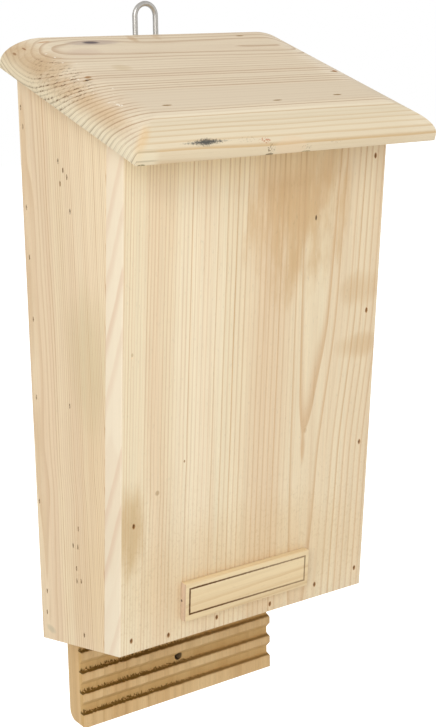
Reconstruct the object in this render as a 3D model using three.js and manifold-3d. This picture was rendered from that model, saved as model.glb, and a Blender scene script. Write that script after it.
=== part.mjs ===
// A two-chamber bat box in softwood, with a long grooved back board, a leaning front,
// a sloping roof with rounded edges, a small bare name plate and a wire to hang it by.
// Millimetres, +Z up. The back plane is y = 0, the front looks along -Y, x = 0 is the
// middle, and z = 0 is the lower back corner of the side boards.
import * as THREE from 'three';
import { mergeVertices } from 'three/addons/utils/BufferGeometryUtils.js';
import Module from 'manifold-3d';

const wasm = await Module();
wasm.setup();

// Box and boards
const boxWidth = 212;
const boxHeight = 412;
const footDepth = 108.4;
const footSlopeDegrees = 13;
const frontLeanDegrees = 4.22;
const roofSlopeDegrees = 17.43;
const boardThickness = 20;
const sideThickness = 19.1;
const backThickness = 22;
const jointGap = 0.3;

// Roof
const roofSideOverhang = 12.4;
const roofFrontOverhang = 34.7;
const roofRoundReach = 32;
const roofRoundDrop = 15.6;
const roofRoundSteps = 10;

// Chambers
const chamberDepth = 26;
const crossingHeight = 28;

// Back board, its landing tail and its grooves
const tailLength = 70.8;
const tailHeelRadius = 8;
const tailHeelSteps = 6;
const lowestRibFace = 10;
const ribFace = 5.4;
const grooveLedge = 1.6;
const grooveFloor = 5;
const grooveFlank = 4.8;
const grooveDepth = 4.5;
const grooveEasing = 0.6;

// Screw hole through the tail
const screwHoleDiameter = 6;
const screwHoleDrop = 38.5;
const screwHoleOffset = 0.6;
const drillSides = 24;

// Name plate
const plateWidth = 107.6;
const plateHeight = 28;
const plateThickness = 5.5;
const plateFootRise = 15.3;
const plateOffset = -3.3;
const plateEasing = 0.5;
const borderWidth = 0.9;
const borderDepth = 0.5;
const borderMarginAbove = 3.5;
const borderMarginBelow = 4.7;
const borderMarginAside = 3.3;

// Brads, with a flat head along the grain
const bradWidth = 1.6;
const bradBreadth = 2.8;
const bradLength = 32;
const bradSink = 1.2;
const bradClearance = 0.3;

// Hanging wire and its staples
const wireDiameter = 3.8;
const wireSides = 10;
const loopSpan = 16.9;
const loopRise = 21.2;
const loopOffset = -5.4;
const recessHeight = 70;
const recessMargin = 10;
const legEndDepth = 7;
const legEndMargin = 12;
const stapleDiameter = 1.4;
const stapleSides = 6;
const stapleLegDepth = 8;
const bendSteps = 6;
const loopSteps = 24;

// How far a cutting body runs past the faces that it opens
const overrun = 2;

// Heights of the brads in the left side board's back edge, as shares of the box's height,
// and their depths, as shares of the back board's thickness
const leftBackBradShares = [[0.056, 0.36], [0.097, 0.42], [0.26, 0.17], [0.449, 0.3],
  [0.585, 0.34], [0.69, 0.28], [0.773, 0.23], [0.905, 0.25], [0.936, 0.16]];
// The same in the right side board
const rightBackBradShares = [[0.07, 0.4], [0.34, 0.3], [0.63, 0.36], [0.92, 0.3]];
// Heights of the brads into the partition, as shares of the partition board's height
// above the box's foot, and their depths, as shares of its thickness
const leftPartitionBradShares = [[0.172, 0.31], [0.177, 0.61], [0.198, 0.32], [0.242, 0.14],
  [0.244, 0.47], [0.282, 0.55], [0.521, 0.31], [0.888, 0.86], [0.935, 0.28],
  [0.949, 0.74], [0.96, 0.5], [0.975, 0.2]];
const rightPartitionBradShares = [[0.19, 0.4], [0.53, 0.55], [0.93, 0.45]];
// Place of a brad into the end of the floor strip, as a share of the strip's run
const floorBradShare = 0.34;
// Heights of the brads up the front board's edges, as shares of its height, and their
// places in from its ends, as shares of a side board's thickness
const frontLeftBradShares = [[0.028, 0.49], [0.27, 0.54], [0.608, 0.43]];
const frontRightBradShares = [[0.042, 0.33], [0.335, 0.46], [0.622, 0.49], [0.939, 0.49]];
// Places of the brads along the front board's foot: across, as shares of half the box's
// width, and up, as shares of the floor strip's thickness
const frontFootBradShares = [[-0.628, 0.28], [-0.246, 0.4], [0.197, 0.29], [0.583, 0.53]];
// Places of the roof's brads: across, as shares of half the box's width, and back from the
// front board's top, as shares of the distance from there to the back plane
const roofSideBradShares = [[-0.935, 0.424], [0.89, 0.368]];
const roofFrontBradShares = [[-0.695, 0.048], [0.09, 0.03], [0.583, 0.053]];
const roofBackBradShares = [[0.65, 0.94]];
// Height of the hanger's staples, as a share of the recess's height
const stapleHeightShare = 0.45;

const footSlope = THREE.MathUtils.degToRad(footSlopeDegrees);
const frontLean = THREE.MathUtils.degToRad(frontLeanDegrees);
const roofSlope = THREE.MathUtils.degToRad(roofSlopeDegrees);
const quarterTurn = Math.PI / 2;
const axisX = new THREE.Vector3(1, 0, 0);
const axisY = new THREE.Vector3(0, 1, 0);
const axisZ = new THREE.Vector3(0, 0, 1);

// Finishes
function wood(color, roughness) {
  return new THREE.MeshStandardMaterial({ color, roughness, metalness: 0, flatShading: true });
}

function palePine() {
  return wood(0xe6cfa6, 0.7);
}

function sidePine() {
  return wood(0xe3c8a2, 0.7);
}

function brownPine() {
  return wood(0xb8935f, 0.75);
}

function plateWood() {
  return wood(0xe8d3a8, 0.65);
}

function brightSteel() {
  return new THREE.MeshStandardMaterial({ color: 0xc9ccce, roughness: 0.3, metalness: 1 });
}

function dullSteel() {
  return new THREE.MeshStandardMaterial({ color: 0x4f4a43, roughness: 0.6, metalness: 1 });
}

// A straight line in the side view, where x is the depth and y the height.
function sideLine(x, y, angle) {
  return {
    point: new THREE.Vector2(x, y),
    along: new THREE.Vector2(Math.cos(angle), Math.sin(angle)),
  };
}

// The same line moved to its left by a distance.
function shifted(line, distance) {
  const left = new THREE.Vector2(-line.along.y, line.along.x);
  return { point: line.point.clone().addScaledVector(left, distance), along: line.along };
}

// The point where two lines of the side view cross.
function crossing(first, second) {
  const between = second.point.clone().sub(first.point);
  const run = between.cross(second.along) / first.along.cross(second.along);
  return first.point.clone().addScaledVector(first.along, run);
}

// The lines that the boards are cut to
const backLine = sideLine(0, 0, quarterTurn);
const footLine = sideLine(0, 0, -footSlope);
const roofLine = sideLine(0, boxHeight, roofSlope);
const frontLine = sideLine(-footDepth, footDepth * Math.tan(footSlope), quarterTurn + frontLean);
const frontInnerLine = shifted(frontLine, -boardThickness);
const sideFrontLine = shifted(frontInnerLine, -jointGap);
const cutRoofLine = shifted(roofLine, -jointGap);
const floorTopLine = shifted(footLine, boardThickness);
const backFaceLine = shifted(backLine, backThickness);
const partitionBackLine = shifted(backFaceLine, chamberDepth);
const partitionFrontLine = shifted(partitionBackLine, boardThickness);

const innerWidth = boxWidth - 2 * sideThickness - 2 * jointGap;
const halfWidth = boxWidth / 2;
const frontFoot = crossing(frontLine, footLine);
const frontTop = crossing(frontLine, cutRoofLine);
const frontHeight = frontTop.distanceTo(frontFoot);
const roofTopDepth = frontTop.distanceTo(crossing(backLine, cutRoofLine));
const roofLength = roofTopDepth + roofFrontOverhang;
const roofWidth = boxWidth + 2 * roofSideOverhang;
const partitionTop = crossing(partitionFrontLine, cutRoofLine).y - crossingHeight;

// Local frames of the leaning front board and of the roof
const worldFrame = new THREE.Matrix4();
const frontFrame = new THREE.Matrix4().makeRotationX(frontLean).setPosition(0, frontFoot.x, frontFoot.y);
const roofFrame = new THREE.Matrix4().makeRotationX(roofSlope).setPosition(0, 0, boxHeight);
const sideViewToWorld = new THREE.Matrix4().makeBasis(axisY, axisZ, axisX);

// A solid for cutting and joining, from a closed geometry.
function solidOf(geometry) {
  geometry.deleteAttribute('normal');
  geometry.deleteAttribute('uv');
  const welded = mergeVertices(geometry);
  const vertProperties = new Float32Array(welded.attributes.position.array);
  const triVerts = new Uint32Array(welded.index.array);
  return new wasm.Manifold(new wasm.Mesh({ numProp: 3, vertProperties, triVerts }));
}

// A geometry from a finished solid.
function geometryOf(solid) {
  const mesh = solid.getMesh();
  const geometry = new THREE.BufferGeometry();
  geometry.setAttribute('position', new THREE.BufferAttribute(mesh.vertProperties, 3));
  geometry.setIndex(new THREE.BufferAttribute(mesh.triVerts, 1));
  geometry.computeVertexNormals();
  return geometry;
}

// A geometry less each of the cutting geometries.
function carved(geometry, cutters) {
  let solid = solidOf(geometry);
  for (const cutter of cutters) {
    solid = solid.subtract(solidOf(cutter));
  }
  return geometryOf(solid);
}

// A bar with the same side view all across its width.
function bar(outline, width) {
  const shape = new THREE.Shape(outline);
  const geometry = new THREE.ExtrudeGeometry(shape, { depth: width, bevelEnabled: false });
  geometry.translate(0, 0, -width / 2);
  return geometry.applyMatrix4(sideViewToWorld);
}

// A box between two corners.
function block(low, high) {
  const size = high.clone().sub(low);
  const middle = low.clone().add(high).divideScalar(2);
  return new THREE.BoxGeometry(size.x, size.y, size.z).translate(middle.x, middle.y, middle.z);
}

// Points of a run of corners, with each one but the two ends cut off short.
function eased(points, easing) {
  const run = [points[0]];
  for (let index = 1; index < points.length - 1; index += 1) {
    for (const end of [points[index - 1], points[index + 1]]) {
      const away = end.clone().sub(points[index]).setLength(easing);
      run.push(points[index].clone().add(away));
    }
  }
  run.push(points[points.length - 1]);
  return run;
}

// Points of a grooved face, going up: a rib's face, a short ledge in, the groove's floor
// and a longer flank out again, over and over. The grooves go from the face line inwards.
function groovedFace(face, inwards, bottom, firstRib, top) {
  const points = [new THREE.Vector2(face, bottom)];
  const pitch = grooveLedge + grooveFloor + grooveFlank + ribFace;
  const floor = face + inwards * grooveDepth;
  for (let rib = bottom + firstRib; rib + pitch < top; rib += pitch) {
    const floorBottom = rib + grooveLedge;
    const floorTop = floorBottom + grooveFloor;
    points.push(new THREE.Vector2(face, rib));
    points.push(new THREE.Vector2(floor, floorBottom));
    points.push(new THREE.Vector2(floor, floorTop));
    points.push(new THREE.Vector2(face, floorTop + grooveFlank));
  }
  points.push(new THREE.Vector2(face, top));
  return eased(points, grooveEasing);
}

// Points of a round tube's axis between straight runs, with an arc at each corner.
function bentPath(corners, radius) {
  const path = [corners[0].clone()];
  for (let index = 1; index < corners.length - 1; index += 1) {
    const corner = corners[index];
    const back = corners[index - 1].clone().sub(corner).normalize();
    const ahead = corners[index + 1].clone().sub(corner).normalize();
    const centre = corner.clone().addScaledVector(back, radius).addScaledVector(ahead, radius);
    for (let step = 0; step <= bendSteps; step += 1) {
      const turn = (quarterTurn * step) / bendSteps;
      const point = centre.clone().addScaledVector(ahead, -radius * Math.cos(turn));
      path.push(point.addScaledVector(back, -radius * Math.sin(turn)));
    }
  }
  path.push(corners[corners.length - 1].clone());
  return path;
}

// A path with one step from each of its points to the next.
class StepPath extends THREE.Curve {
  constructor(points) {
    super();
    this.points = points;
  }

  getPoint(share, target = new THREE.Vector3()) {
    const last = this.points.length - 1;
    const index = Math.min(Math.floor(share * last), last - 1);
    return target.lerpVectors(this.points[index], this.points[index + 1], share * last - index);
  }

  getPointAt(share, target) {
    return this.getPoint(share, target);
  }

  getTangentAt(share, target) {
    return this.getTangent(share, target);
  }
}

// A round bar along a path of points.
function roundBar(points, diameter, sides) {
  const circle = new THREE.EllipseCurve(0, 0, diameter / 2, diameter / 2);
  const section = new THREE.Shape(circle.getPoints(sides).slice(0, sides));
  return new THREE.ExtrudeGeometry(section, {
    steps: points.length - 1,
    extrudePath: new StepPath(points),
    bevelEnabled: false,
  });
}

// A brad's frame: its +Z goes into the wood from the surface, its X is along the head.
function bradFrame(parentFrame, point, into, headAlong) {
  const across = new THREE.Vector3().crossVectors(into, headAlong);
  const local = new THREE.Matrix4().makeBasis(headAlong, across, into).setPosition(point);
  return parentFrame.clone().multiply(local);
}

function bradGeometry() {
  const geometry = new THREE.BoxGeometry(bradBreadth, bradWidth, bradLength);
  return geometry.translate(0, 0, bradSink + bradLength / 2);
}

// The hole that a brad leaves, from above the surface to just past its tip.
function bradHole() {
  const depth = overrun + bradSink + bradLength + bradClearance;
  const breadth = bradBreadth + 2 * bradClearance;
  const width = bradWidth + 2 * bradClearance;
  return new THREE.BoxGeometry(breadth, width, depth).translate(0, 0, depth / 2 - overrun);
}

const brads = [];

function addBrads(name, frames, boards) {
  frames.forEach((frame, index) => {
    brads.push({ name: `brad_${name}_${index + 1}`, frame, boards });
  });
}

// The side boards' brads, into the back board, the partition and the floor strip.
function addSideBrads(side, name, backShares, partitionShares) {
  const board = `${name}_side`;
  const into = axisX.clone().multiplyScalar(-side);
  const place = (depth, height) => {
    const point = new THREE.Vector3(side * halfWidth, depth, height);
    return bradFrame(worldFrame, point, into, axisZ);
  };
  const backFrames = backShares.map(([heightShare, depthShare]) => (
    place(-backThickness * depthShare, boxHeight * heightShare)
  ));
  addBrads(`${name}_back`, backFrames, [board, 'back_board']);
  const partitionFrames = partitionShares.map(([heightShare, depthShare]) => (
    place(partitionBackLine.point.x - boardThickness * depthShare, partitionTop * heightShare)
  ));
  addBrads(`${name}_partition`, partitionFrames, [board, 'partition_board']);
  const stripBack = crossing(partitionBackLine, footLine);
  const middle = stripBack.lerp(crossing(sideFrontLine, footLine), floorBradShare);
  const floorFrame = place(middle.x, middle.y + boardThickness / 2);
  addBrads(`${name}_floor`, [floorFrame], [board, 'floor_strip']);
}

// The front board's brads, into the sides' front edges and the floor strip.
function addFrontBrads() {
  const place = (across, height) => {
    return bradFrame(frontFrame, new THREE.Vector3(across, 0, height), axisY, axisZ);
  };
  const edge = (side, shares) => shares.map(([heightShare, edgeShare]) => (
    place(side * (halfWidth - sideThickness * edgeShare), frontHeight * heightShare)
  ));
  addBrads('front_left', edge(-1, frontLeftBradShares), ['front_board', 'left_side']);
  addBrads('front_right', edge(1, frontRightBradShares), ['front_board', 'right_side']);
  const foot = frontFootBradShares.map(([acrossShare, heightShare]) => (
    place(halfWidth * acrossShare, boardThickness * heightShare)
  ));
  addBrads('front_foot', foot, ['front_board', 'floor_strip']);
}

// The roof's brads, into the sides, the front board and the back board.
function addRoofBrads() {
  const down = axisZ.clone().negate();
  const place = ([acrossShare, depthShare]) => {
    const depth = roofTopDepth * (1 - depthShare);
    const point = new THREE.Vector3(halfWidth * acrossShare, -depth, boardThickness);
    return bradFrame(roofFrame, point, down, axisX);
  };
  const [left, right] = roofSideBradShares.map(place);
  addBrads('roof_left', [left], ['roof_board', 'left_side']);
  addBrads('roof_right', [right], ['roof_board', 'right_side']);
  addBrads('roof_front', roofFrontBradShares.map(place), ['roof_board', 'front_board']);
  addBrads('roof_back', roofBackBradShares.map(place), ['roof_board', 'back_board']);
}

// Hanging wire: its axis lies in the recess, clear of the back plane.
const recessDepth = wireDiameter + stapleDiameter + 3 * jointGap;
const wireReach = wireDiameter / 2 + jointGap;
const wireDepth = wireReach - recessDepth;
const recessWidth = loopSpan + wireDiameter + 2 * recessMargin;
const recessFoot = boxHeight - recessHeight;
const roofBackTop = boxHeight + boardThickness * Math.cos(roofSlope);
const loopRadius = loopSpan / 2;
const loopMiddle = roofBackTop + loopRise - loopRadius;
const legEndHeight = recessFoot + legEndMargin;
const legEnd = -recessDepth - legEndDepth;
const legs = [['left', loopOffset - loopRadius], ['right', loopOffset + loopRadius]];

// The legs turn forward into the board at their ends and meet in a half round on top.
function hangerWire() {
  const [left, right] = legs.map(([, across]) => bentPath([
    new THREE.Vector3(across, legEnd, legEndHeight),
    new THREE.Vector3(across, wireDepth, legEndHeight),
    new THREE.Vector3(across, wireDepth, loopMiddle),
  ], wireReach));
  const top = [];
  for (let step = 1; step < loopSteps; step += 1) {
    const turn = (Math.PI * step) / loopSteps;
    const across = loopOffset - loopRadius * Math.cos(turn);
    top.push(new THREE.Vector3(across, wireDepth, loopMiddle + loopRadius * Math.sin(turn)));
  }
  return roundBar([...left, ...top, ...right.reverse()], wireDiameter, wireSides);
}

// A staple over one leg: two prongs and a crown that clears the wire.
const stapleHeight = recessFoot + recessHeight * stapleHeightShare;
const stapleReach = (wireDiameter + stapleDiameter) / 2 + jointGap;
const crownDepth = wireDepth + wireDiameter / 2 + jointGap + stapleDiameter / 2;

function hangerStaple(across) {
  const tip = -recessDepth - stapleLegDepth;
  const corners = bentPath([
    new THREE.Vector3(across - stapleReach, tip, stapleHeight),
    new THREE.Vector3(across - stapleReach, crownDepth, stapleHeight),
    new THREE.Vector3(across + stapleReach, crownDepth, stapleHeight),
    new THREE.Vector3(across + stapleReach, tip, stapleHeight),
  ], stapleDiameter);
  return roundBar(corners, stapleDiameter, stapleSides);
}

// A hole drilled from the recess's floor for a wire of some diameter.
function drilledHole(across, height, diameter, depth) {
  const radius = diameter / 2 + jointGap;
  const length = depth + jointGap + overrun;
  const hole = new THREE.CylinderGeometry(radius, radius, length, drillSides);
  return hole.translate(across, overrun - recessDepth - length / 2, height);
}

// Cutters for the hanger in the back board: the recess and the drilled holes.
function hangerCutters() {
  const cutters = [block(
    new THREE.Vector3(loopOffset - recessWidth / 2, -recessDepth, recessFoot),
    new THREE.Vector3(loopOffset + recessWidth / 2, overrun, boxHeight + overrun),
  )];
  for (const [, across] of legs) {
    cutters.push(drilledHole(across, legEndHeight, wireDiameter, legEndDepth));
    cutters.push(drilledHole(across - stapleReach, stapleHeight, stapleDiameter, stapleLegDepth));
    cutters.push(drilledHole(across + stapleReach, stapleHeight, stapleDiameter, stapleLegDepth));
  }
  return cutters;
}

// Cutters for the two notches that let the legs pass the roof's back edge.
function roofNotches() {
  const toRoof = roofFrame.clone().invert();
  return legs.map(([, across]) => block(
    new THREE.Vector3(across - wireReach, -recessDepth, boxHeight - boardThickness),
    new THREE.Vector3(across + wireReach, overrun, roofBackTop + boardThickness),
  ).applyMatrix4(toRoof));
}

// Board blanks, before the brads' holes
function sideBoard(side) {
  const outline = [
    new THREE.Vector2(0, 0),
    crossing(backLine, cutRoofLine),
    crossing(sideFrontLine, cutRoofLine),
    crossing(sideFrontLine, footLine),
  ];
  return bar(outline, sideThickness).translate(side * (halfWidth - sideThickness / 2), 0, 0);
}

// The back board is rounded at the heel of its tail and grooved all up its front face.
function backBoard() {
  const faceDepth = backFaceLine.point.x;
  const faceTop = crossing(backFaceLine, cutRoofLine).y;
  const heel = [];
  for (let step = 0; step <= tailHeelSteps; step += 1) {
    const turn = (quarterTurn * step) / tailHeelSteps;
    const depth = tailHeelRadius * (Math.cos(turn) - 1);
    heel.push(new THREE.Vector2(depth, tailHeelRadius * (1 - Math.sin(turn)) - tailLength));
  }
  const face = groovedFace(faceDepth, 1, -tailLength, lowestRibFace, faceTop);
  const radius = screwHoleDiameter / 2;
  const through = backThickness + 2 * overrun;
  const hole = new THREE.CylinderGeometry(radius, radius, through, drillSides);
  hole.translate(screwHoleOffset, faceDepth / 2, -screwHoleDrop);
  const outline = [crossing(backLine, cutRoofLine), ...heel, ...face];
  return carved(bar(outline, innerWidth), [hole, ...hangerCutters()]);
}

// The partition stands on the floor strip and is grooved on its back face.
function partitionBoard() {
  const seat = shifted(floorTopLine, jointGap);
  const back = crossing(partitionBackLine, seat);
  const front = crossing(partitionFrontLine, seat);
  const face = groovedFace(back.x, -1, back.y, lowestRibFace, partitionTop);
  return bar([...face, new THREE.Vector2(front.x, partitionTop), front], innerWidth);
}

function floorStrip() {
  const outline = [
    crossing(partitionBackLine, footLine),
    crossing(partitionBackLine, floorTopLine),
    crossing(sideFrontLine, floorTopLine),
    crossing(sideFrontLine, footLine),
  ];
  return bar(outline, innerWidth);
}

// The front board lies in its own leaning frame, with its outer face at y = 0.
function frontBoard() {
  const toFront = frontFrame.clone().invert();
  const corners = [
    frontFoot,
    frontTop,
    crossing(frontInnerLine, cutRoofLine),
    crossing(frontInnerLine, footLine),
  ];
  const outline = corners.map((corner) => {
    const local = new THREE.Vector3(0, corner.x, corner.y).applyMatrix4(toFront);
    return new THREE.Vector2(local.y, local.z);
  });
  return bar(outline, boxWidth);
}

// Points of the roof's rounded edge, from its upright foot to the flat top: how far each
// lies in from the edge, and how high.
function roundedEdge() {
  const points = [];
  for (let step = 0; step <= roofRoundSteps; step += 1) {
    const turn = (quarterTurn * step) / roofRoundSteps;
    const reach = roofRoundReach * (1 - Math.cos(turn));
    const height = boardThickness - roofRoundDrop * (1 - Math.sin(turn));
    points.push(new THREE.Vector2(reach, height));
  }
  return points;
}

// The roof board lies in the sloping frame, with its underside at z = 0 and its square
// back edge at y = 0. A long bar with a round front meets a deep one with round ends.
function roofBoard() {
  const edge = roundedEdge();
  const front = edge.map((point) => new THREE.Vector2(point.x - roofLength, point.y));
  const along = bar([
    new THREE.Vector2(0, 0),
    new THREE.Vector2(-roofLength, 0),
    ...front,
    new THREE.Vector2(0, boardThickness),
  ], roofWidth + 2 * overrun);
  const right = edge.map((point) => new THREE.Vector2(roofWidth / 2 - point.x, point.y));
  const left = edge.map((point) => new THREE.Vector2(point.x - roofWidth / 2, point.y));
  const ends = new THREE.Shape([
    new THREE.Vector2(-roofWidth / 2, 0),
    new THREE.Vector2(roofWidth / 2, 0),
    ...right,
    ...left.reverse(),
  ]);
  const depth = roofLength + 2 * overrun;
  const across = new THREE.ExtrudeGeometry(ends, { depth, bevelEnabled: false });
  across.applyMatrix4(new THREE.Matrix4().makeBasis(axisX, axisZ, axisY.clone().negate()));
  across.translate(0, overrun, 0);
  const board = solidOf(along).intersect(solidOf(across));
  return carved(geometryOf(board), roofNotches());
}

// The plate stands off the front board by the joint gap. A shallow line is burned into
// its face all round, a little in from its edges.
function namePlate() {
  const face = -jointGap - plateThickness;
  const top = plateFootRise + plateHeight;
  const outline = eased([
    new THREE.Vector2(-jointGap, plateFootRise),
    new THREE.Vector2(face, plateFootRise),
    new THREE.Vector2(face, top),
    new THREE.Vector2(-jointGap, top),
  ], plateEasing);
  const reach = plateWidth / 2 - borderMarginAside;
  const low = plateFootRise + borderMarginBelow;
  const high = top - borderMarginAbove;
  const outside = block(
    new THREE.Vector3(-reach, face - overrun, low),
    new THREE.Vector3(reach, face + borderDepth, high),
  );
  const inside = block(
    new THREE.Vector3(borderWidth - reach, face - 2 * overrun, low + borderWidth),
    new THREE.Vector3(reach - borderWidth, overrun, high - borderWidth),
  );
  const line = carved(outside, [inside]);
  return carved(bar(outline, plateWidth), [line]).translate(plateOffset, 0, 0);
}

// The boards, each with the frame that it lies in
const boards = [
  { name: 'back_board', frame: worldFrame, blank: backBoard, finish: brownPine },
  { name: 'left_side', frame: worldFrame, blank: () => sideBoard(-1), finish: sidePine },
  { name: 'right_side', frame: worldFrame, blank: () => sideBoard(1), finish: sidePine },
  { name: 'floor_strip', frame: worldFrame, blank: floorStrip, finish: sidePine },
  { name: 'partition_board', frame: worldFrame, blank: partitionBoard, finish: brownPine },
  { name: 'front_board', frame: frontFrame, blank: frontBoard, finish: palePine },
  { name: 'name_plate', frame: frontFrame, blank: namePlate, finish: plateWood },
  { name: 'roof_board', frame: roofFrame, blank: roofBoard, finish: palePine },
];

const batBox = new THREE.Group();

function addPiece(name, geometry, material, frame) {
  const mesh = new THREE.Mesh(geometry, material);
  mesh.name = name;
  mesh.applyMatrix4(frame);
  batBox.add(mesh);
}

addSideBrads(-1, 'left', leftBackBradShares, leftPartitionBradShares);
addSideBrads(1, 'right', rightBackBradShares, rightPartitionBradShares);
addFrontBrads();
addRoofBrads();

for (const { name, frame, blank, finish } of boards) {
  const toBoard = frame.clone().invert();
  const holes = brads.filter((brad) => brad.boards.includes(name)).map((brad) => (
    bradHole().applyMatrix4(toBoard.clone().multiply(brad.frame))
  ));
  addPiece(name, carved(blank(), holes), finish(), frame);
}
for (const { name, frame } of brads) {
  addPiece(name, bradGeometry(), dullSteel(), frame);
}
addPiece('hanger_wire', hangerWire(), brightSteel(), worldFrame);
for (const [name, across] of legs) {
  addPiece(`hanger_staple_${name}`, hangerStaple(across), brightSteel(), worldFrame);
}

export default batBox;
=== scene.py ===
"""A two-chamber bat box in raw softwood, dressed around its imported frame.

Boards are bars with eased edges, the roof is one shell with a big round on three sides, and
the growth rings are solid: they run through each board round a pith line, so that faces,
edges and end grain agree. Places are in millimetres in the local frame of a board, and the
finished meshes are in metres in the frame of the box.
"""

import math

import bpy
import numpy as np
from mathutils import Matrix, Vector


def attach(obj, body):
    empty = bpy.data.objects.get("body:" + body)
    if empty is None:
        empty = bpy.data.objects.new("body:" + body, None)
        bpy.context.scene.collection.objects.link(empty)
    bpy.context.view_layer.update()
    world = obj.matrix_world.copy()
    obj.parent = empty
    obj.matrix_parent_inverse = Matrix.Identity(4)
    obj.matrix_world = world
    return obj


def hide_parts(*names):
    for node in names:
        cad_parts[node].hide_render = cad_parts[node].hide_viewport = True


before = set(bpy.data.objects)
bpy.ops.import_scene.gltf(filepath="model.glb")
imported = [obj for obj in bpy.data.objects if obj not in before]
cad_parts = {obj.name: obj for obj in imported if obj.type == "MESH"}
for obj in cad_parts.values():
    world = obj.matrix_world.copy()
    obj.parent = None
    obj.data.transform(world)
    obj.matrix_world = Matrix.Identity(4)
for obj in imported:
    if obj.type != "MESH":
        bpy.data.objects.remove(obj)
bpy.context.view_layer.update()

MM = 0.001
AXES = "xyz"
SEED = 20

# Boards as they are sawn
ROOF_SLOPE = math.radians(17.43)
FRONT_LEAN = math.radians(4.22)
FOOT_SLOPE = math.radians(13.0)
FOOT_DEPTH = 108.4
BOARD = 20.0
SIDE_BOARD = 19.1
BACK_BOARD = 22.0
JOINT_GAP = 0.3
EASING = 0.6
EASING_STEPS = 3
END_EASING = 0.5
CUT_OVERRUN = 2.0
SMOOTH_DEGREES = 20.0
OUTLINE_DIRECTIONS = 1440

# Grooves of the back board and the partition, going up
LOWEST_RIB = 10.0
RIB_FACE = 5.4
GROOVE_LEDGE = 1.6
GROOVE_FLOOR = 5.0
GROOVE_FLANK = 4.8
GROOVE_PITCH = GROOVE_LEDGE + GROOVE_FLOOR + GROOVE_FLANK + RIB_FACE
GROOVE_DEPTH = 4.5
GROOVE_EASING = 0.55
GROOVE_STEPS = 5
HEEL_RADIUS = 8.0
CHAMBER_DEPTH = 26.0

# Torn fibres on the ledges, which grow from a place along X to the left
TAIL_STATIONS = 110
TEAR_HEIGHT = 0.28
TEAR_MARGIN = 0.3
TEAR_START = 20.0
TEAR_RUN = 90.0
LEAST_TEAR_SHARE = 0.35
OWN_TEAR_SHARE = 0.35
FOOT_TEAR_SHARE = 0.06

# Screw hole in the tail
SCREW_HOLE = 6.0
SCREW_DROP = 38.5
SCREW_ASIDE = 0.6
DRILL_SIDES = 40

# Round of the roof's edges
ROUND_REACH = 32.0
ROUND_DROP = 15.6
ROUND_STEPS = 26
FLAT_STEP = 5.0
LIP_SHARES = (0.0, 0.2, 0.5, 1.0)

# Hanging wire and its recess
WIRE = 3.8
LOOP_SPAN = 16.9
WIRE_DEPTH = -3.9
RECESS_DEPTH = 6.1
RECESS_MARGIN = 10.0
RECESS_HEIGHT = 70.0
LEG_END_MARGIN = 12.0
LEG_END_DEPTH = 7.0
BEND_RADIUS = 1.8
BEND_STEPS = 8
LOOP_STEPS = 48
TUBE_SIDES = 20
TUBE_SIDEWAYS = (0.6, 0.8, 0.0)
TUBE_SMOOTH_DEGREES = 40.0
STAPLE = 1.4
STAPLE_SIDES = 14
STAPLE_GAP = 0.3
STAPLE_LEG = 8.0
STAPLE_HEIGHT_SHARE = 0.45

# Name plate, in the front board's frame
PLATE_WIDTH = 107.6
PLATE_HEIGHT = 28.0
PLATE_THICKNESS = 5.5
PLATE_FOOT = 15.3
PLATE_OFFSET = -3.3
BORDER_WIDTH = 0.9
BORDER_DEPTH = 0.45
BORDER_OVERRUN = 1.0
BORDER_ABOVE = 3.5
BORDER_BELOW = 4.7
BORDER_ASIDE = 3.3

# Slots that the sunk brads leave, with their half width and half length
SLOT_DEPTH = 1.6
SLOT_SIDES = 14
SLOT_DEPTH_SHARES = (-1.0, 0.0, 0.5, 1.0)
SLOT_WIDTH_SHARES = (1.05, 1.0, 0.8, 0.62)
SLOT_RAGGED_SHARES = (0.75, 1.2)
FACE_SLOT = (0.9, 1.7)
ROOF_SLOT = (0.6, 2.8)
FILLED_BRAD = "brad_front_left_3"

# Camera: a long lens from the front left, a little above
CAMERA_PLACE = (-0.56007, -0.87632, 0.44729)
CAMERA_BACK = (-0.5577, -0.7950, 0.2385)
CAMERA_ROLL = math.radians(-0.911)
SENSOR = 36.0
LENS = 71.0
SHIFT = (0.00047, -0.00238)
CLIP_RANGE = (0.05, 50.0)

# Backdrop, floor and lamps, in metres and watts
WHITE = (1.0, 1.0, 1.0, 1.0)
AMBIENT = 0.7
FLOOR_DROP = 0.62
FLOOR_HALF = 9.0
FLOOR_GLOW = 0.7
FLOOR_TONE = (0.86, 0.86, 0.86, 1.0)
LAMP_SIZE = 1.4
LAMP_AIM = (0.0, -0.06, 0.18)
LAMPS = {
    "key_lamp": ((-1.66, -1.55, 1.14), 25.0),
    "fill_lamp": ((1.6, -1.5, 0.7), 3.0),
    "back_lamp": ((0.4, 1.9, 1.2), 9.0),
}

rng = np.random.default_rng(SEED)


class Placement:
    """A local frame: millimetres, turned about X by an angle and set at an origin."""

    def __init__(self, origin=(0.0, 0.0, 0.0), tilt=0.0):
        self.origin = np.array(origin, float)
        self.tilt = tilt
        c, s = math.cos(tilt), math.sin(tilt)
        self.turn = np.array([[1, 0, 0], [0, c, -s], [0, s, c]])

    def out(self, points):
        """Local millimetres to metres in the box's frame."""
        return (np.asarray(points, float) @ self.turn.T + self.origin) * MM

    def inside(self, points):
        """Metres in the box's frame to local millimetres."""
        return (np.asarray(points, float) / MM - self.origin) @ self.turn


def node_corners(name, place):
    """Lowest and highest corner of a frame node in a local frame."""
    points = np.array([v.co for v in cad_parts[name].data.vertices], float)
    local = place.inside(points)
    return local.min(0), local.max(0)


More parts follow.
